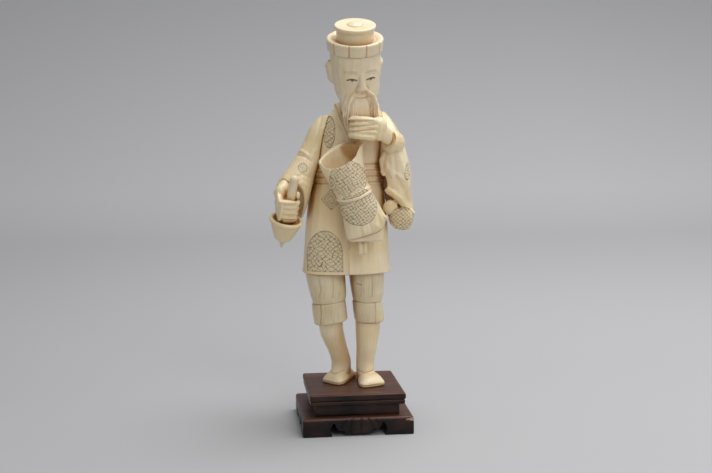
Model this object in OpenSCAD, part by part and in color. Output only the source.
// Carved okimono figure: an old pedlar in hat and robe, with a spinning top in one fist and a
// cloth bag in the other, on a hardwood stand. The figure is pegged together from turned and
// carved pieces, and lifts off its stand. Millimetres, +Z up, the figure faces -Y.

/* [Stand] */
// Width of the plinth
plinth_w = 58; // [54:0.5:64]
// Depth of the plinth
plinth_d = 56; // [52:0.5:62]
// Height of the plinth with its bracket feet
plinth_h = 9.5; // [8.5:0.25:12]
// Width of one bracket foot along the front
foot_w = 15; // [12:0.5:17]
// Thickness of the carved apron
apron_t = 4; // [3:0.25:5]
// Height of the recessed neck
neck_h = 5.8; // [4:0.2:8]
// How far the neck stands in from the top board
neck_inset = 3; // [2:0.25:5]
// Height of the moulding board
moulding_h = 2.6; // [2:0.1:4]
// Thickness of the top board
board_t = 3.5; // [3:0.1:5]
// Width of the top board
board_w = 50.2; // [47:0.2:52]
// Depth of the top board
board_d = 51.4; // [48:0.2:52]
// Chamfer on the boards' edges
board_chamfer = 0.6; // [0.2:0.1:0.9]

/* [Figure] */
// Height of the robe from hem to collar
robe_h = 91; // [88:0.5:96]
// Height of the legs from sole to hem
leg_h = 60.6; // [58:0.5:64]
// Half width of the hem
hem_half_w = 23.8; // [22:0.2:25]
// Half depth of the hem
hem_half_d = 15.5; // [14:0.25:17]
// Wall of the hollow sleeve mouths
sleeve_wall = 1.5; // [1:0.1:2.2]

/* [Head and hat] */
// Half width of the skull
skull_half_w = 13; // [12.4:0.1:13.4]
// How far the head bows forward
head_bow = 22; // [16:1:26]
// Outer radius of the hat band
band_r = 14.7; // [14:0.1:15.5]
// Height of the hat band
band_h = 6.4; // [5:0.2:8]
// Radius of the hat's drum
drum_r = 9.8; // [8:0.1:11]
// Height of the drum
drum_h = 4.8; // [3.5:0.1:6.5]
// How far the lid oversails the drum
lid_lip = 0.9; // [0.4:0.1:1.5]
// Thickness of the lid
lid_t = 1.9; // [1.4:0.1:3]
// Radius of the button on the lid
button_r = 4.4; // [3:0.1:5.5]
// Panels round the hat band
band_panels = 10; // [6:1:14]

/* [Spinning top] */
// Radius of the spindle
spindle_r = 2.3; // [2:0.05:2.5]
// Length of the spindle with its point
spindle_l = 41; // [38:0.5:43]
// Radius of the top's rim
top_r = 8.8; // [8:0.1:9.4]
// Height of the top's body
top_h = 12; // [10:0.25:12.5]
// Depth of the dish in the top's upper face
dish_depth = 2.6; // [1.5:0.1:4]

/* [Bag] */
// Wall of the bag's mouth
bag_wall = 1.5; // [1.1:0.1:2]
// Depth of the bag's hollow below its rim
bag_hollow = 24; // [14:1:30]
// How far the cord band stands proud of the bag
band_proud = 0.8; // [0.4:0.1:1.2]

/* [Pegs] */
// Radius of the pegs in the soles
sole_peg_r = 1.6; // [1.2:0.1:2]
// How deep the sole pegs stand in the stand
sole_peg_in = 8; // [5:0.5:9]
// Radius of the shoulder, hip and knee pegs
joint_peg_r = 1.8; // [1.4:0.1:2.2]
// Radius of the wrist pegs
wrist_peg_r = 1.3; // [1:0.1:1.6]

/* [Hidden] */
// Sides of the carved outlines, by piece
robe_sides = 24;
limb_sides = 18;
head_sides = 20;
bag_sides = 18;
finger_sides = 8;

// Clearance of a glued peg in its bore
glue_gap = 0.05;
// Clearance of a peg or spindle that slides or turns
slide_gap = 0.08;
// Room past the end of a peg
end_gap = 0.3;
ivory = "#e9dcbb";
pale_ivory = "#f1e7cc";
rosewood = "#3a211a";

stand_h = plinth_h + neck_h + moulding_h + board_t;
sole_z = stand_h;
hem_z = sole_z + leg_h;
collar_z = hem_z + robe_h;

// Where the parts of the figure stand, measured from the hem's middle line
waist_z = hem_z + 0.56 * robe_h;
knee_z = sole_z + 0.647 * leg_h;
right_foot = [-5.6, 7.4];
left_foot = [9, 0.6];
right_ankle = [-5.2, 8.4];
left_ankle = [7.6, 4.6];
right_turn = -35;
left_turn = 4;
right_hip = [-14.2, 2.5];
left_hip = [8.1, 2.5];
right_knee = [-11.9, 2.2];
left_knee = [9.1, 2.6];
shoulder_z = collar_z - 14.5;
right_shoulder = [-17, 3, shoulder_z];
left_shoulder = [20, 3, shoulder_z + 1.5];
neck_at = [3.1, 0, collar_z - 1.5];
head_at = [1.2, -7, collar_z + 15];
head_turn = [head_bow, -5, 7];

// The top's point, and the way its spindle leans
tip_at = [-38.2, -8.3, hem_z + 14.6];
spindle_turn = [18.5, 10.4, 0];
grip_up = 22.2;

// The left fist, its lean, and the bag that hangs from it
left_grip = [1.9, -21.6, collar_z - 14.2];
left_grip_turn = [0, 7, 0];
strap_r = 2;

// Outlines and skins

function power(t, sq) = sign(t) * pow(abs(t), 2 / sq);

// One closed ring of points: a squared oval, tilted about X, Y and Z, round its centre. Its folds
// are waves round it, as deep as a part of its width, and phase says where round it they fall.
function oval(centre, a, b, tilt = [0, 0, 0], sq = 2, n = 32, folds = 0, deep = 0, phase = 0) = [
    for (i = [0:n - 1])
        let (t = 360 * i / n, wave = 1 + deep * cos(folds * t + phase))
        centre + turned([a * wave * power(cos(t), sq), b * wave * power(sin(t), sq), 0], tilt)];

function turned(p, t) = turn_z(turn_y(turn_x(p, t.x), t.y), t.z);
function turn_x(p, a) = [p.x, p.y * cos(a) - p.z * sin(a), p.y * sin(a) + p.z * cos(a)];
function turn_y(p, a) = [p.x * cos(a) + p.z * sin(a), p.y, p.z * cos(a) - p.x * sin(a)];
function turn_z(p, a) = [p.x * cos(a) - p.y * sin(a), p.x * sin(a) + p.y * cos(a), p.z];

// Curves a list of rings through k steps between each two, so that few stations give a fair form
function faired(rings, k) = let (last = len(rings) - 1) [
    for (i = [0:last - 1], j = [0:k - 1])
        let (r0 = rings[max(i - 1, 0)], r1 = rings[i], r2 = rings[i + 1], r3 = rings[min(i + 2, last)])
        [for (m = [0:len(r1) - 1]) between(r0[m], r1[m], r2[m], r3[m], j / k)],
    rings[last]];

function between(p0, p1, p2, p3, t) =
    p1 + t * ((p2 - p0) / 2 + t * ((p0 - 2.5 * p1 + 2 * p2 - p3 / 2)
    + t * (1.5 * (p1 - p2) + (p3 - p0) / 2)));

// The turn that brings +Z to face along a direction
function facing(d) = [0, acos(d.z / norm(d)), atan2(d.y, d.x)];

function total(list) = [for (v = list) 1] * list;
function middle(ring) = total(ring) / len(ring);

// Six times the volume that the faces enclose, negative where they are inside out
function enclosed(points, faces) = total([
    for (f = faces) cross(points[f[0]], points[f[1]]) * points[f[2]]]);

// A closed skin over a list of rings, capped at both ends
module skin(rings) {
    n = len(rings[0]);
    last = len(rings) - 1;
    points = [for (r = rings) each r, middle(rings[0]), middle(rings[last])];
    sides = [for (i = [0:last - 1], j = [0:n - 1])
        let (a = i * n + j, b = i * n + (j + 1) % n)
        each [[a, a + n, b + n], [a, b + n, b]]];
    caps = [for (j = [0:n - 1]) let (k = (j + 1) % n) each [
        [(last + 1) * n, j, k], [(last + 1) * n + 1, last * n + k, last * n + j]]];
    faces = concat(sides, caps);
    outward = enclosed(points, faces) < 0;
    polyhedron(points, outward ? faces : [for (f = faces) [f[2], f[1], f[0]]]);
}

// Melts its children into one skin, which true bores can then be cut from
module melted() {
    resize([0, 0, 0]) union() children();
}

// A straight rod between two points
module rod(from, to, r, $fn = 32) {
    d = to - from;
    translate(from)
        rotate(facing(d)) cylinder(r = r, h = norm(d));
}

// A tube of n sides that follows points, with its own half widths at each
function tube_rings(path, a, b, n = 10) = [
    for (i = [0:len(path) - 1])
        let (d = path[min(i + 1, len(path) - 1)] - path[max(i - 1, 0)],
             lean = facing(d))
        [for (j = [0:n - 1])
            let (t = 360 * j / n)
            path[i] + turned([a[i] * cos(t), b[i] * sin(t), 0], lean)]];

// Stand

// The apron's cut on one side: an arch beside each foot, then a short petal and a long one
module apron_cut(width) {
    half = width / 2 - foot_w;
    rise = plinth_h * 0.74;
    petal = 0.5 * half;
    short = 0.29 * plinth_h;
    for (side = [0, 1])
        mirror([side, 0])
            polygon([
                [half, -1], [half, 1],
                for (i = [1:5]) [half + 0.8 * sin(36 * i), 1 + (rise - 2.4) * i / 5],
                [half - 0.6, rise - 0.4], [half - 1.6, rise],
                for (i = [0:4]) let (t = i / 4)
                    [half - 1.6 - (half - 3.2 - petal) * t * t, rise - (rise - short) * sin(90 * t)],
                [petal + 0.5, short + 0.7], [petal + 0.3, 1.9], [petal - 0.6, 1], [0, 0.8], [0, -1]]);
}

// The grooves between the four petals on each side
module petal_grooves(depth) {
    for (a = [-29, 0, 29])
        translate([0, -depth / 2, plinth_h - 1.7])
            rotate([0, 180 - a, 0])
                translate([-0.25, -0.5, 0]) cube([0.5, 1, plinth_h]);
}

module stand_plinth() {
    hollow_w = plinth_w - 2 * apron_t;
    hollow_d = plinth_d - 2 * apron_t;
    deck = 3;
    color(rosewood)
    difference() {
        chamfered_board(plinth_w, plinth_d, plinth_h, 0, 0.9);
        translate([-hollow_w / 2, -hollow_d / 2, -1]) cube([hollow_w, hollow_d, plinth_h - deck + 1]);
        translate([0, plinth_d, 0]) rotate([90, 0, 0]) linear_extrude(2 * plinth_d) apron_cut(plinth_w);
        translate([-plinth_w, 0, 0]) rotate([90, 0, 90]) linear_extrude(2 * plinth_w) apron_cut(plinth_d);
        for (a = [0, 180]) rotate([0, 0, a]) petal_grooves(plinth_d);
        for (a = [90, 270]) rotate([0, 0, a]) petal_grooves(plinth_w);
    }
}

// A board whose lower and upper edges can be chamfered
module chamfered_board(w, d, h, low, high) {
    points = [for (level = [[0, low], [low, 0], [h - high, 0], [h, high]], c = [[-1, -1], [1, -1], [1, 1], [-1, 1]])
        [c.x * (w / 2 - level[1]), c.y * (d / 2 - level[1]), level[0]]];
    first = low > 0 ? 0 : 1;
    rows = [for (i = [first:3]) i];
    faces = [
        [for (j = [0:3]) 4 * first + j],
        [for (j = [3:-1:0]) 12 + j],
        for (i = [first:2], j = [0:3])
            [4 * i + j, 4 * (i + 1) + j, 4 * (i + 1) + (j + 1) % 4, 4 * i + (j + 1) % 4]];
    polyhedron(points, faces);
}

// A peg stands a little behind the middle of each sole, under the ankle
function sole_peg_at(foot) = foot + [0, 1.5];

module sole_bores(gap) {
    for (foot = [right_foot, left_foot])
        translate([sole_peg_at(foot).x, sole_peg_at(foot).y, sole_z - sole_peg_in - end_gap])
            cylinder(r = sole_peg_r + gap, h = sole_peg_in + 2, $fn = 32);
}

module stand_neck() {
    color(rosewood)
    difference() {
        translate([0, 0, plinth_h + neck_h / 2])
            cube([board_w - 2 * neck_inset, board_d - 2 * neck_inset, neck_h], center = true);
        sole_bores(slide_gap);
    }
}

module stand_moulding() {
    color(rosewood)
    difference() {
        translate([0, 0, plinth_h + neck_h])
            chamfered_board(board_w - 0.6, board_d - 0.6, moulding_h, board_chamfer, board_chamfer * 0.8);
        sole_bores(slide_gap);
    }
}

module stand_top() {
    color(rosewood)
    difference() {
        translate([0, 0, sole_z - board_t])
            chamfered_board(board_w, board_d, board_t, board_chamfer, board_chamfer);
        sole_bores(slide_gap);
    }
}

// Legs

sole_peg_up = 7;

module sole_pegs() {
    color(ivory)
    for (foot = [right_foot, left_foot])
        translate([sole_peg_at(foot).x, sole_peg_at(foot).y, sole_z - sole_peg_in])
            cylinder(r = sole_peg_r, h = sole_peg_in + sole_peg_up, $fn = 32);
}

// The outline of a shoe: broad toe, its inner corner further forward, waist and rounded heel
function shoe_ring(foot, turn, slim, long, z, shrink) =
    let (inner = turn < 0 ? 1 : -1, w = slim - shrink, l = long - shrink)
    [for (p = [
        [0, 1.02], [-0.45, 0.96], [-0.72, 0.78], [-0.76, 0.5], [-0.78, 0.1], [-0.9, -0.3],
        [-1.02, -0.62], [-0.9, -0.82], [-0.55, -0.9], [0, -1], [0.5, -1.08], [0.86, -1.04],
        [1, -0.86], [1, -0.6], [0.92, -0.2], [0.8, 0.15], [0.76, 0.5], [0.72, 0.78], [0.45, 0.96]])
        foot + turned([inner * p.x * w, p.y * l, 0], [0, 0, turn]) + [0, 0, z]];

function shoe_rings(foot, turn, slim, long) = let (at = [foot.x, foot.y, 0]) [
    shoe_ring(at, turn, slim, long, sole_z, 0.2),
    shoe_ring(at, turn, slim, long, sole_z + 0.5, 0),
    shoe_ring(at, turn, slim, long, sole_z + 1.7, 0),
    shoe_ring(at, turn, slim, long, sole_z + 2.4, 0.4),
    shoe_ring(at + [0, 0.5, 0], turn, slim, long, sole_z + 4, 1.6),
    shoe_ring(at + [0, 1.6, 0], turn, slim, long, sole_z + 5.4, 3.2)];

// The ankle, shin, calf and knee above the shoe
function shin_rings(ankle, knee, turn) = faired([
    oval([ankle.x, ankle.y - 0.5, sole_z + 3.6], 4.6, 7.6, [0, 0, turn], 2.2, limb_sides),
    oval([ankle.x, ankle.y, sole_z + 7], 4.9, 6.8, [0, 0, turn], 2, limb_sides),
    oval([ankle.x, ankle.y, sole_z + 11], 4.9, 6.6, [0, 0, turn], 2, limb_sides),
    oval([(2 * ankle.x + knee.x) / 3, ankle.y - 1.2, sole_z + 18], 5.4, 7, [0, 0, turn * 0.7], 2, limb_sides),
    oval([(ankle.x + 3 * knee.x) / 4, (ankle.y + knee.y) / 2, sole_z + 26], 6.4, 7.7, [0, 0, turn / 2], 2, limb_sides),
    oval([knee.x, knee.y + 0.6, knee_z - 3], 7, 8, [0, 0, 0], 2, limb_sides)], 2);

// The wrapped band below the knee, a little wider than the cloth above and the calf below
module cuff_form(knee, half_w, half_d, lean) {
    skin([for (s = [[-5.8, -0.5], [-4.9, 0], [0, 0.15], [4.9, 0], [5.6, -0.5]])
        oval([knee.x - 0.12 * s[0], knee.y, knee_z + s[0]], half_w + s[1], half_d + s[1],
            [0, lean, 0], 2.3, 28)]);
}

module right_cuff() {
    cuff_form(right_knee, 9.1, 9.5, -8.5);
}

module left_cuff() {
    cuff_form(left_knee, 8, 9.2, 0);
}

// The two knee pegs, from the calf up through the cuff into the trouser leg
right_knee_peg = [[-10.4, 3.4, knee_z - 12], [-12.9, 2.2, knee_z + 12]];
left_knee_peg = [[9.2, 3, knee_z - 12], [8.9, 2.6, knee_z + 12]];

module knee_pegs() {
    color(ivory)
    for (p = [right_knee_peg, left_knee_peg]) rod(p[0], p[1], joint_peg_r);
}

// A bore for a peg between two points, with room past both ends
module peg_bore(p, r) {
    along = (p[1] - p[0]) / norm(p[1] - p[0]);
    rod(p[0] - end_gap * along, p[1] + end_gap * along, r + glue_gap);
}

module lower_leg(foot, ankle, knee, turn, slim, long, peg) {
    color(ivory)
    difference() {
        melted()
            difference() {
                union() {
                    skin(shoe_rings(foot, turn, slim, long));
                    skin(shin_rings(ankle, knee, turn));
                }
                children();
            }
        peg_bore(peg, joint_peg_r);
        translate([sole_peg_at(foot).x, sole_peg_at(foot).y, sole_z - 1])
            cylinder(r = sole_peg_r + glue_gap, h = sole_peg_up + 1 + end_gap, $fn = 32);
    }
}

module lower_leg_right() {
    lower_leg(right_foot, right_ankle, right_knee, right_turn, 6.7, 11.5, right_knee_peg) right_cuff();
}

module lower_leg_left() {
    lower_leg(left_foot, left_ankle, left_knee, left_turn, 7, 12.5, left_knee_peg) left_cuff();
}

module knee_cuff_right() {
    color(ivory)
    difference() {
        right_cuff();
        peg_bore(right_knee_peg, joint_peg_r);
    }
}

module knee_cuff_left() {
    color(ivory)
    difference() {
        left_cuff();
        peg_bore(left_knee_peg, joint_peg_r);
    }
}

hip_peg_half = 8;

module hip_peg(hip, gap) {
    translate([hip.x, hip.y, hem_z - hip_peg_half - (gap > 0 ? end_gap : 0)])
        cylinder(r = joint_peg_r + gap, h = 2 * hip_peg_half + (gap > 0 ? 2 * end_gap : 0), $fn = 32);
}

module hip_pegs() {
    color(ivory)
    for (hip = [right_hip, left_hip]) hip_peg(hip, 0);
}

// A trouser leg from the hem down to the knee, with two soft folds in its outline
module trouser_leg(hip, knee, half_w, half_d, peg) {
    color(ivory)
    difference() {
        melted()
            difference() {
                skin([
                    oval([knee.x - 0.4, knee.y, knee_z + 1], half_w - 2.6, half_d - 2.4, [0, 0, 0], 2.3, 24),
                    oval([knee.x - 0.5, knee.y, knee_z + 7], half_w - 1.5, half_d - 1.2, [0, 0, 0], 2.3, 24),
                    oval([(hip.x + 2 * knee.x) / 3, (hip.y + knee.y) / 2, (hem_z + 2 * knee_z) / 3 + 2.5],
                        half_w - 0.8, half_d - 0.6, [0, 0, 0], 2.2, 24),
                    oval([(2 * hip.x + knee.x) / 3, hip.y, (2 * hem_z + knee_z) / 3 + 1],
                        half_w - 0.3, half_d - 0.2, [0, 0, 0], 2.2, 24),
                    oval([hip.x, hip.y, hem_z], half_w, half_d, [0, 0, 0], 2.2, 24)]);
                children();
            }
        peg_bore(peg, joint_peg_r);
        hip_peg(hip, glue_gap);
    }
}

module trouser_leg_right() {
    trouser_leg(right_hip, right_knee, 10.6, 11, right_knee_peg) right_cuff();
}

module trouser_leg_left() {
    trouser_leg(left_hip, left_knee, 9.5, 10.8, left_knee_peg) left_cuff();
}

// Robe

// Stations up the robe: height above the hem, middle, half width, half depth and squareness
robe_stations = [
    [0, -2.7, 2.5, hem_half_w, hem_half_d, 2.5],
    [3, -2.6, 2.5, hem_half_w - 0.4, hem_half_d - 0.2, 2.5],
    [13, -2.5, 2.4, hem_half_w - 1.1, hem_half_d - 0.5, 2.4],
    [26, -2.4, 2.3, hem_half_w - 1.9, hem_half_d - 1.1, 2.3],
    [42, -2.3, 2.2, hem_half_w - 3.6, hem_half_d - 2.2, 2.3],
    [51, -2.2, 2.2, hem_half_w - 5.6, hem_half_d - 3.3, 2.3],
    [58, -1.6, 2.2, hem_half_w - 5.8, hem_half_d - 3, 2.3],
    [67, 0.3, 2.5, hem_half_w - 5.5, hem_half_d - 2.6, 2.4],
    [75, 1.4, 3, hem_half_w - 5.8, hem_half_d - 3.5, 2.4],
    [81, 2.5, 3.3, hem_half_w - 7.2, hem_half_d - 5, 2.3],
    [84.5, 3, 3, hem_half_w - 9.6, hem_half_d - 6.2, 2.1],
    [87.5, 3.1, 2.4, hem_half_w - 13, hem_half_d - 7.4, 2],
    [91, 3.2, 1.8, hem_half_w - 15.4, hem_half_d - 8.2, 2]];

robe_scale = robe_h / 91;

module robe_form() {
    ring = [for (s = robe_stations)
        oval([s[1], s[2], hem_z + s[0] * robe_scale], s[3], s[4], [0, 0, 0], s[5], robe_sides)];
    skirt = [for (i = [0:3]) ring[i]];
    bodice = [for (i = [4:len(ring) - 1]) ring[i]];
    skin(concat(skirt, faired(bodice, 2)));
}

// A flat sash wound three times round the waist
module sash_form() {
    wraps = 3;
    wide = 3.1;
    skin([for (turn = [0:wraps - 1], s = [[0, 0.25], [0.6, 0.95], [2.5, 0.95]])
        oval([-2.1, 2.2, waist_z + wide * (turn - wraps / 2) + s[0]],
            hem_half_w - 5.6 + s[1], hem_half_d - 3.1 + s[1], [0, -1.5, 0], 2.3, robe_sides)]);
}

// The lap of the robe: a rounded edge down the front from sash to hem
module lap_form() {
    front = robe_stations[0][2] - hem_half_d;
    skin(tube_rings([
        [-2.6, front - 0.1, hem_z + 0.4], [-2.9, front - 0.05, hem_z + 12], [-3.1, front + 0.7, hem_z + 30],
        [-3.2, front + 1.9, hem_z + 44]], [0.5, 0.8, 0.8, 0.6], [0.5, 0.8, 0.8, 0.6], 8));
}

// The folded collar: one band from each side of the neck to the crossing at the chest
module collar_form() {
    for (side = [-1, 1]) {
        path = [
            [3.3, 9.8, collar_z - 3.4],
            [3.3 + side * 6.2, 7.8, collar_z - 2.8],
            [3.3 + side * 9.4, 2.6, collar_z - 2.6],
            [3.3 + side * 8.6, -4, collar_z - 8],
            [3.3 + side * 5.4, -8, collar_z - 15],
            [3.3 + side * 2.2 - 1.5, -9.6, collar_z - 22.5],
            [0.6 - side * 2.5, -10.4, collar_z - 31]];
        skin(tube_rings(path, [1.4, 1.8, 2, 2, 2, 2, 1.6], [1.8, 2.4, 3, 3.2, 3, 2.6, 1.8], 8));
    }
}

module robe() {
    color(ivory)
    difference() {
        melted() {
            robe_form();
            sash_form();
            lap_form();
            collar_form();
        }
        for (hip = [right_hip, left_hip]) hip_peg(hip, glue_gap);
        for (p = shoulder_peg_ends) peg_bore(p, joint_peg_r);
        peg_bore(neck_peg_ends, neck_peg_r);
    }
}

// Sleeves

shoulder_peg_ends = [
    [right_shoulder + [-2, 0, -2], right_shoulder + [7, 0, 0]],
    [left_shoulder + [-7, 0, -0.4], left_shoulder + [2, 0, -1.6]]];

module shoulder_pegs() {
    color(ivory)
    for (p = shoulder_peg_ends) rod(p[0], p[1], joint_peg_r);
}

// The right sleeve hangs out and forward from the shoulder and widens to its mouth
module right_sleeve_form(shrink) {
    skin(faired([
        oval([-28.8, -2.6, hem_z + 29.4], 2.4 - shrink / 2, 3.4 - shrink, [0, 0, 0], 2, limb_sides),
        oval([-29.8, -3.2, hem_z + 33], 5 - shrink, 7 - shrink, [0, 0, 0], 2, limb_sides),
        oval([-31.2, -4.2, hem_z + 39], 8.2 - shrink, 9.4 - shrink, [0, 0, 0], 2, limb_sides),
        oval([-31, -4.4, hem_z + 45], 9.6 - shrink, 10 - shrink, [0, 0, 0], 2.1, limb_sides),
        oval([-28.8, -3, hem_z + 51], 9 - shrink, 9.8 - shrink, [0, 0, 0], 2.1, limb_sides),
        oval([-25.6, -1, hem_z + 56.5], 7.9 - shrink, 9 - shrink, [0, 0, 0], 2, limb_sides),
        oval([-21.8, 1.2, hem_z + 63], 6.9 - shrink, 8 - shrink, [0, 0, 0], 2, limb_sides),
        oval([-19, 2.4, hem_z + 69.5], 6.1 - shrink, 7.6 - shrink, [0, 0, 0], 2, limb_sides),
        oval([-16, 3, hem_z + 76.5], 5.7 - shrink, 7.3 - shrink, [0, 0, 0], 2, limb_sides),
        oval([-13.2, 3.2, hem_z + 83], 3.2 - shrink / 2, 4.6 - shrink, [0, 0, 0], 2, limb_sides)], 2));
}

right_wrist = [-35.6, -9.1, hem_z + 46.3];
right_mouth_at = [-34.2, -7.6, hem_z + 42.5];
right_mouth_faces = [-0.41, -0.79, -0.46];
right_hollow = 6;

// A block on the plane of the right sleeve's mouth, from so far in to so far out
module right_mouth_block(from, to) {
    translate(right_mouth_at)
        rotate(facing(right_mouth_faces)) translate([-25, -25, from]) cube([50, 50, to - from]);
}

module sleeve_right() {
    color(ivory)
    difference() {
        melted()
            difference() {
                right_sleeve_form(0);
                right_mouth_block(0, 30);
                robe_form();
                sash_form();
                collar_form();
                right_fist_form();
                intersection() {
                    right_sleeve_form(sleeve_wall);
                    right_mouth_block(-right_hollow, 1);
                }
            }
        peg_bore(shoulder_peg_ends[0], joint_peg_r);
        peg_bore(wrist_peg_ends[0], wrist_peg_r);
    }
}

// The left sleeve: cloth over a raised forearm, that falls below it in folds which wind round
module left_sleeve_form(shrink) {
    drop = 12;
    skin(faired([for (s = [
        [28, -4, 22.4, 2.4, 1.6, 30, 0], [27, -4, 24.8, 5.4, 3.6, 26, 0.03], [25.8, -4, 30, 7, 6, 18, 0.06],
        [24.5, -4, 36.5, 7.4, 7.8, 8, 0.05], [23.6, -3.8, 44, 8, 9.6, 0, 0.05],
        [22.7, -3.6, 52, 8.4, 10.6, 0, 0.04], [21.8, -3.3, 60, 7.9, 11, 0, 0.02],
        [20.6, -2.2, 68, 7, 10.6, 0, 0], [19.1, 0, 75, 6.1, 9, 0, 0], [17, 2.2, 81, 4.6, 6.4, 0, 0],
        [15.4, 3, 85, 2.6, 3.8, 0, 0]])
        oval([s[0], s[1], hem_z + s[2]], s[3] - shrink, s[4] - shrink, [0, 0, s[5]], 2, limb_sides + 2,
            4, s[6], 360 * s[2] / drop)], 2));
}

left_wrist = [17.2, -15, hem_z + 70.6];
wrist_peg_ends = [
    [right_wrist + [-2.2, -4, -3.3], right_wrist + [4.4, 8.5, 5.1]],
    [left_wrist + [-7, -3, 2.4], left_wrist + [5.5, 4.6, -2]]];

module wrist_pegs() {
    color(ivory)
    for (p = wrist_peg_ends) rod(p[0], p[1], wrist_peg_r);
}

// The narrow inner cuff that holds the left wrist
module left_cuff_roll() {
    skin(faired(tube_rings([
        left_wrist + [5, 6.4, -2.2], left_wrist + [3.2, 3.4, -1.4], left_wrist + [1.4, 1, -0.8],
        left_wrist + [0.6, 0.2, -0.5]],
        [6, 6.2, 6, 5.2], [5.6, 5.7, 5.4, 4.7], 16), 1));
}

// The sleeve's open mouth below the wrist, towards the body
module left_mouth() {
    skin(faired([for (s = [
        [17, -4.6, 27.6, 2.4, 2.2], [17, -4.8, 33, 4.6, 4], [16.8, -5, 41, 5.6, 5.8], [15.4, -5, 49, 6, 6.4],
        [13.4, -5, 55.5, 4.4, 4.8], [12.6, -5, 59.5, 2, 2.4]])
        oval([s[0], s[1], hem_z + s[2]], s[3], s[4], [0, 0, 0], 2, 18)], 2));
}

// The lip where the front fold of the left sleeve ends: across, forward and up from the hem
sleeve_lip = [
    [16.8, -10.4, 64.2], [15.4, -8.8, 60], [16, -9.6, 54.8], [14.6, -8, 49.1], [15, -8.2, 45.5],
    [17.8, -9.6, 44.2], [20.9, -11, 42.6], [23.9, -11.2, 40], [26.5, -10.1, 36.4], [28.6, -8.4, 32.7]];
// The crest of the front fold above it
sleeve_crest = [[17, -8.4, 61], [18.9, -10.4, 56.2], [21.5, -10.9, 52.4], [25, -9.8, 49], [28.4, -6.6, 45]];
// The corner of the sleeve's hem, which points outwards
sleeve_corner = [[28, -6.4, 33.4], [31, -8, 32.2], [32.8, -8.6, 31.4]];
sleeve_recess_y = -8.4;
lip_under = 0.3;

function above_hem(path) = [for (p = path) p + [0, 0, hem_z]];

// All below the lip lies further back than the front fold
module sleeve_recess() {
    translate([0, sleeve_recess_y, hem_z]) rotate([90, 0, 0]) linear_extrude(20)
        polygon(concat([for (p = sleeve_lip) [p.x, p.z - lip_under]], [[40, 28], [40, 10], [5, 10], [5, 63.1]]));
}

// A rounded end of cloth that comes forward under the lip
module cloth_end(at, wide, high, deep, corners) {
    skin([for (s = [[0, 1], [0.62, 0.97], [0.88, 0.8], [1, 0.42]])
        oval([at.x, at.y - s[0] * deep, hem_z + at.z], wide * s[1], high * s[1], [90, 0, 0], corners, 12)]);
}

module left_drape() {
    difference() {
        left_sleeve_form(0);
        sleeve_recess();
    }
    for (fold = [
        [sleeve_lip, [1.4, 2, 2.2, 2.5, 2.5, 2.5, 2.4, 2.2, 2, 1.4]],
        [sleeve_crest, [2.6, 3.6, 4, 3.8, 2.8]],
        [sleeve_corner, [3, 1.7, 0.6]]])
        skin(tube_rings(above_hem(fold[0]), fold[1], fold[1], finger_sides));
    cloth_end([19.4, -6.5, 35.3], 4.3, 4.4, 5.4, 2);
    cloth_end([25.2, -6, 29.1], 6.6, 6.5, 5.6, 1.8);
}

module sleeve_left() {
    color(ivory)
    difference() {
        melted()
            difference() {
                union() {
                    left_drape();
                    left_cuff_roll();
                }
                left_mouth();
                left_fist_form();
                robe_form();
                sash_form();
                collar_form();
            }
        peg_bore(shoulder_peg_ends[1], joint_peg_r);
        peg_bore(wrist_peg_ends[1], wrist_peg_r);
    }
}

// Hands

finger_r = 1.75;

// One finger: straight from its knuckle, then curled round the grip
function finger_path(grip, straight, z, reach) = [
    for (k = [2:-1:1]) [straight * k / 2, -grip - (k > 1 ? -0.3 : 0), z],
    for (k = [0:5]) let (a = -90 - reach * k / 5) [grip * cos(a), grip * sin(a), z]];

// A closed fist round the Z axis, its back towards -Y and its wrist at a point on the +X side. Its
// core is the flesh of the palm, which the fingers close on.
module fist_form(grip, core, straight, pitch, palm, wrist, wrist_r, thumb) {
    for (i = [0:3]) {
        z = pitch * (1.5 - i);
        path = finger_path(grip, straight - 0.5 * abs(i - 1), z, 190 - 10 * i);
        thick = [for (k = [0:len(path) - 1]) finger_r * (k < 6 ? 1 : 0.82)];
        skin(tube_rings(path, thick, thick, finger_sides));
    }
    skin([for (s = [[-1.9, 0.5], [-1.5, 0], [1.5, 0], [1.9, 0.5]])
        oval([0, 0, s[0] * pitch], core - s[1], core - s[1], n = 16)]);
    skin(faired([
        oval([straight * 0.8, -grip + 0.4, 0], 2 * pitch * 0.84, 1.3, [0, 90, 0], 3.4, 2 * finger_sides),
        oval([straight + 1.4, -grip + 0.8, 0], 2 * pitch, 2.5, [0, 90, 0], 2.8, 2 * finger_sides),
        oval(palm, 2 * pitch * 0.86, 3.4, [0, 90, atan2(wrist.y, wrist.x) / 2], 2.3, 2 * finger_sides),
        oval(wrist, wrist_r, wrist_r * 0.88, [0, 90, atan2(wrist.y, wrist.x)], 2, 2 * finger_sides)], 1));
    skin(tube_rings(thumb, [2.1, 2, 1.9, 1.6, 0.8], [2.1, 2, 1.9, 1.6, 0.8], finger_sides));
}

spindle_grip = spindle_r + finger_r - 0.3;

module at_top() {
    translate(tip_at) rotate(spindle_turn) children();
}

module right_fist_form() {
    at_top() translate([0, 0, grip_up]) rotate([0, 0, 16]) mirror([1, 0, 0])
        fist_form(spindle_grip, spindle_r + 1.5, 4.4, 2.85, [6.2, 1.6, 3], [4.3, 5.9, 6], 4.3,
            [[6, 1, 2.5], [4.6, 3.2, 4.6], [1.4, 4.3, 5.6], [-2.4, 3.6, 6], [-4, 2, 6]]);
    skin(tube_rings([right_wrist + [-2.9, -4.6, -3.8], right_wrist, right_wrist + [2.5, 4.9, 2.9]],
        [3.9, 3.8, 3.7], [3.9, 3.8, 3.7], 14));
}

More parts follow.
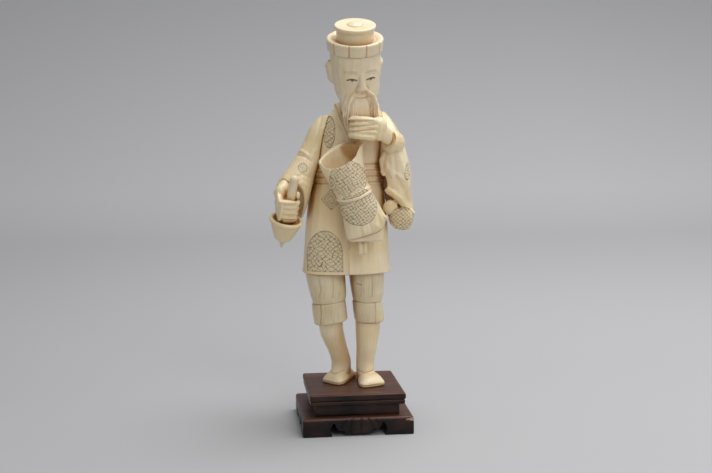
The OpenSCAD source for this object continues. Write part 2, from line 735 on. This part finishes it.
module hand_right() {
    color(ivory)
    difference() {
        melted()
            difference() {
                right_fist_form();
                right_mouth_block(-30, glue_gap - right_hollow);
            }
        at_top() cylinder(r = spindle_r + slide_gap, h = spindle_l + 5, $fn = 32);
        peg_bore(wrist_peg_ends[0], wrist_peg_r);
    }
}

module left_fist_form() {
    translate(left_grip) rotate(left_grip_turn)
        fist_form(strap_r + finger_r + 0.4, strap_r + 1.5, 8.6, 2.75, [11.5, 0.6, -0.6], [16.4, 6.6, -3], 4.3,
            [[12, 2.4, 2], [8, 3.8, 4], [3.6, 4.2, 4.6], [0.4, 3.4, 4.6], [-1.4, 2.2, 4.4]]);
}

module hand_left() {
    color(ivory)
    difference() {
        melted()
            difference() {
                left_fist_form();
                bag_form();
            }
        peg_bore(wrist_peg_ends[1], wrist_peg_r);
    }
}

// Head and hat

neck_peg_r = 2.4;
neck_peg_ends = [neck_at + [-0.2, 2.4, -9], neck_at + [-0.8, -1.6, 9]];

module neck_peg() {
    color(ivory) rod(neck_peg_ends[0], neck_peg_ends[1], neck_peg_r);
}

module on_head() {
    translate(head_at) rotate(head_turn) children();
}

skull_top = 11.8;
hat_spigot_r = 3.2;
hat_spigot_in = 5;
button_spigot_r = 1.6;
button_spigot_l = 3;

// The skull from chin to hat, with brow, cheeks and jaw in its stations
module skull_form() {
    skin(faired([
        oval([0, -8.2, -17.4], 3.8, 3.2, [0, 0, 0], 2, head_sides),
        oval([0, -6.8, -14.6], 8.6, 7, [0, 0, 0], 2.3, head_sides),
        oval([0, -4.6, -9.5], 11.3, 10, [0, 0, 0], 2.4, head_sides),
        oval([0, -2.6, -3.5], 12.2, 11.9, [0, 0, 0], 2.2, head_sides),
        oval([0, -1.2, 2.5], skull_half_w, 13, [0, 0, 0], 2.2, head_sides),
        oval([0, -0.5, skull_top], skull_half_w, 12.9, [0, 0, 0], 2, head_sides)], 2));
}

module nose_form() {
    skin([
        oval([0, -14.1, -5.8], 2, 1.4, [0, 0, 0], 2, 12),
        oval([0, -14.6, -5], 2.8, 2.3, [0, 0, 0], 2, 12),
        oval([0, -14.9, -3.8], 2.5, 2.5, [0, 0, 0], 2, 12),
        oval([0, -14.2, -0.6], 1.7, 2, [0, 0, 0], 2, 12),
        oval([0, -13.2, 3.6], 1.5, 1.2, [0, 0, 0], 2, 12)]);
}

module ears_form() {
    for (side = [-1, 1])
        skin([for (s = [[11.9, -5.6, 1.3, 1.5], [12.9, -3.4, 1.6, 2.2], [13.5, 0.6, 1.7, 2.9], [13.8, 4, 1.9, 3.3],
            [13.2, 6.3, 1.2, 2.2]])
            oval([side * (s[0] - 0.4), 0.5, s[1]], s[2], s[3], [0, 0, -side * 16], 2, 12)]);
}

// Nape and throat, upright in the figure although the head bows
module throat_form() {
    skin([
        oval(neck_at + [0, 1.4, -5], 7, 6.2, [0, 0, 0], 2, head_sides),
        oval(neck_at + [0, 0.6, 0.5], 7, 6.6, [0, 0, 0], 2, head_sides),
        oval(neck_at + [-0.9, -2, 7], 8, 8, [8, 0, 0], 2, head_sides),
        oval(neck_at + [-1.6, -4.4, 12.5], 9, 9, [18, 0, 0], 2, head_sides)]);
}

chin_at = head_at + [1.8, 1.4, -18];

// The beard hangs square from the jaw, and a moustache strand falls at each side of it
module beard_form() {
    skin([
        oval(chin_at + [0.4, -8.6, -14], 6.4, 1.2, [0, 0, 5], 3, head_sides),
        oval(chin_at + [0.4, -8.4, -11], 8.2, 2.4, [0, 0, 5], 3, head_sides),
        oval(chin_at + [0.2, -7.8, -6], 9.2, 3.6, [0, 0, 5], 3, head_sides),
        oval(chin_at + [0, -7, -1], 9.8, 4.8, [0, 0, 5], 2.6, head_sides),
        oval(chin_at + [-0.3, -6, 3.5], 9.6, 6, [0, 0, 5], 2.4, head_sides),
        oval(chin_at + [-0.5, -5.6, 7], 7, 5.4, [0, 0, 5], 2.2, head_sides)]);
    for (side = [-1, 1])
        skin(tube_rings([
            chin_at + [side * 0.4 - 0.6, -11.8, 7.4], chin_at + [side * 3.2 - 0.5, -11.8, 7.4],
            chin_at + [side * 6, -11, 5], chin_at + [side * 7.6, -10.6, 0.5],
            chin_at + [side * 8, -10.6, -5], chin_at + [side * 7.7, -10.4, -10]],
            [0.9, 1.3, 1.5, 1.6, 1.5, 0.6], [1, 1.6, 1.8, 1.8, 1.6, 0.7], 8));
}

module head() {
    color(pale_ivory)
    difference() {
        melted()
            difference() {
                union() {
                    on_head() {
                        skull_form();
                        nose_form();
                        ears_form();
                    }
                    throat_form();
                    beard_form();
                }
                robe_form();
                collar_form();
                left_fist_form();
            }
        on_head() translate([0, 0, skull_top - hat_spigot_in - end_gap])
            cylinder(r = hat_spigot_r + glue_gap, h = hat_spigot_in + 5, $fn = 48);
        peg_bore(neck_peg_ends, neck_peg_r);
    }
}

band_top = skull_top + band_h;

module hat_band() {
    lip = 1.1;
    color(pale_ivory)
    on_head()
    difference() {
        rotate_extrude($fn = 96)
            polygon([
                [hat_spigot_r + glue_gap, skull_top], [band_r - 0.9, skull_top],
                [band_r - 0.5, skull_top + 0.3],
                for (i = [0:6]) let (a = 15 * i)
                    [band_r - lip + lip * cos(a), band_top - lip + lip * sin(a)],
                [band_r - 2 * lip, band_top - 0.35],
                [drum_r + 0.8, band_top - 1.3],
                [hat_spigot_r + glue_gap, band_top - 1.3]]);
        for (i = [0:band_panels - 1])
            rotate([0, 0, 360 / band_panels * (i + 0.75)])
                translate([band_r - 0.45, -0.2, skull_top - 1]) cube([2, 0.4, band_h]);
    }
}

drum_foot = band_top - 1.3;
lid_foot = band_top + drum_h;

module hat_crown() {
    soft = 0.7;
    color(pale_ivory)
    on_head()
    difference() {
        union() {
            rotate_extrude($fn = 96)
                polygon([
                    [0, drum_foot], [drum_r - 0.1, drum_foot], [drum_r - 0.3, lid_foot - 0.4],
                    [drum_r + lid_lip - 0.4, lid_foot], [drum_r + lid_lip, lid_foot + 0.5],
                    for (i = [0:4]) let (a = 22.5 * i)
                        [drum_r + lid_lip - soft + soft * cos(a), lid_foot + lid_t - soft + soft * sin(a)],
                    [button_r + 1.2, lid_foot + lid_t - 0.15], [0, lid_foot + lid_t - 0.15]]);
            translate([0, 0, skull_top - hat_spigot_in])
                cylinder(r = hat_spigot_r, h = drum_foot - skull_top + hat_spigot_in + 0.5, $fn = 48);
        }
        translate([0, 0, lid_foot + lid_t - button_spigot_l - end_gap])
            cylinder(r = button_spigot_r + glue_gap, h = button_spigot_l + 3, $fn = 32);
    }
}

module hat_button() {
    foot = lid_foot + lid_t - 0.15;
    dome = 1.3;
    ball = (button_r * button_r + dome * dome) / (2 * dome);
    color(pale_ivory)
    on_head()
    rotate_extrude($fn = 64)
        polygon([
            [0, foot - button_spigot_l + 0.15], [button_spigot_r, foot - button_spigot_l + 0.15],
            [button_spigot_r, foot], [button_r, foot],
            for (i = [1:7]) let (x = button_r * (1 - i / 7))
                [x, foot + dome - ball + sqrt(ball * ball - x * x)]]);
}

// Spinning top, from its point up

point_l = 6;
top_foot = 4.8;

module top_spindle() {
    color(pale_ivory)
    at_top()
    rotate_extrude($fn = 48)
        polygon([
            [0, 0], [0.35, 0.15], [spindle_r, point_l],
            for (i = [0:6]) let (a = 15 * i)
                [spindle_r * cos(a), spindle_l - spindle_r + spindle_r * sin(a)]]);
}

module top_body() {
    rim = 1.9;
    bore = spindle_r + glue_gap;
    brim = top_foot + top_h;
    color(ivory)
    at_top()
    difference() {
        rotate_extrude($fn = 96)
            polygon([
                [0, top_foot], [3.4, top_foot], [4.3, top_foot + 0.5],
                for (i = [0:6]) let (t = i / 6)
                    [4.4 + (top_r - 5.2) * (1.25 * t - 0.25 * t * t), top_foot + 0.8 + (top_h - rim - 1.2) * t],
                [top_r - 0.2, brim - rim], [top_r, brim - rim + 0.4], [top_r, brim - 0.6],
                [top_r - 0.5, brim], [top_r - 1.5, brim],
                for (i = [0:4]) let (a = 22.5 * i)
                    [(top_r - 2) * cos(a) , brim - 0.3 - (dish_depth - 0.3) * sin(a)]]);
        translate([0, 0, -1]) cylinder(r = bore, h = 40, $fn = 48);
        translate([0, 0, point_l - 10]) cylinder(r = spindle_r + glue_gap, h = 10, $fn = 48);
    }
}

// Bag

bag_low = hem_z + 22;

// Stations up the bag: middle, half width, half depth and tilt of each ring
bag_stations = [
    [[3.9, -20.6, bag_low], 8.8, 5.4, [0, -16, 0], 2.6],
    [[4.4, -20.9, bag_low + 1.5], 10, 6.3, [0, -16, 0], 2.6],
    [[4.6, -21.3, bag_low + 5.5], 11.2, 7, [0, -16, 0], 1.9],
    [[2.8, -21.6, bag_low + 11.5], 10.2, 7.2, [0, -18, 0], 2.1],
    [[0.2, -21.8, bag_low + 17.5], 9.4, 7.2, [0, -20, 0], 2.1],
    [[-1.5, -21.9, bag_low + 21.7], 8.7, 7.1, [2, -22, 0], 2.1],
    [[-4.2, -22, bag_low + 28.5], 9.7, 7.2, [8, -22, 0], 2],
    [[-6.8, -22.2, bag_low + 36], 11.2, 7.3, [20, -23, 0], 1.8],
    [[-8.2, -22.3, bag_low + 42.6], 12.5, 7.2, [31, -24, 0], 1.55]];

function bag_ring(s, shrink) = oval(s[0], s[1] - shrink, s[2] - shrink * 0.9, s[3], s[4], bag_sides);

module bag_skin() {
    skin(faired([for (s = bag_stations) bag_ring(s, 0)], 2));
}

module bag_band() {
    s = bag_stations[5];
    skin([for (k = [-2:2])
        oval(s[0] + turned([0, 0, 0.55 * k], s[3]),
            s[1] + band_proud * (1 - k * k / 5), s[2] + band_proud * (1 - k * k / 5), s[3], s[4], bag_sides)]);
}

// The gathered neck of the bag, which the left fist holds
strap_path = [
    [1.6, -18.6, left_grip.z - 12], [1.8, -19.6, left_grip.z - 9], [2, -21, left_grip.z - 5],
    left_grip, left_grip + [0.6, 0, 5.2]];

module bag_strap() {
    skin(faired(tube_rings(strap_path, [2.4, 2.8, strap_r, strap_r, 1.2], [1.6, 1.8, strap_r, strap_r, 1.2], 12), 2));
}

module bag_form() {
    bag_skin();
    bag_band();
    bag_strap();
}

module bag_cavity() {
    last = len(bag_stations) - 1;
    rim = bag_stations[last];
    above = [rim[0] + turned([0, 0, 7], rim[3]), rim[1] + 0.9, rim[2] + 0.9, rim[3], rim[4]];
    deep = [for (i = [0:last - 1]) if (bag_stations[i][0].z > rim[0].z - bag_hollow) bag_stations[i]];
    foot = deep[0];
    skin(faired([
        bag_ring([foot[0] - [0, 0, 2.5], foot[1] * 0.6, foot[2] * 0.6, foot[3], 2], bag_wall),
        for (s = deep) bag_ring(s, bag_wall),
        bag_ring(above, bag_wall)], 2));
}

module bag() {
    color(ivory)
    melted()
        difference() {
            bag_form();
            bag_cavity();
            robe_form();
            sash_form();
        }
}

liner_foot = bag_low - 3.2;

module liner_form() {
    skin(faired([
        oval([4.9, -20.2, liner_foot], 8.6, 3.6, [0, 0, 0], 4, 24),
        oval([4.9, -20.2, liner_foot + 0.8], 9.1, 4.1, [0, 0, 0], 4, 24),
        oval([4.9, -20.2, liner_foot + 7.5], 8.7, 4.1, [0, 0, 0], 4, 24),
        oval([4.9, -20.2, liner_foot + 9], 8, 3.6, [0, 0, 0], 4, 24)], 1));
}

module bag_liner() {
    color(pale_ivory)
    melted()
        difference() {
            liner_form();
            bag_skin();
        }
}

module bag_ties() {
    color(pale_ivory)
    for (x = [2.1, 4.5])
        skin([
            oval([x + 0.1, -20.2, liner_foot - 7.2], 0.7, 0.7, [0, 0, 0], 2, 12),
            oval([x + 0.1, -20.3, liner_foot - 6.4], 1.25, 1.1, [0, 0, 0], 2.2, 12),
            oval([x, -20.3, liner_foot - 3], 1.1, 1, [0, 0, 0], 2.2, 12),
            oval([x, -20.2, liner_foot], 1.05, 0.9, [0, 0, 0], 2.2, 12)]);
}

stand_plinth();
stand_neck();
stand_moulding();
stand_top();
sole_pegs();
lower_leg_right();
lower_leg_left();
knee_cuff_right();
knee_cuff_left();
trouser_leg_right();
trouser_leg_left();
knee_pegs();
hip_pegs();
robe();
sleeve_right();
sleeve_left();
shoulder_pegs();
hand_right();
hand_left();
wrist_pegs();
neck_peg();
head();
hat_band();
hat_crown();
hat_button();
top_spindle();
top_body();
bag();
bag_liner();
bag_ties();
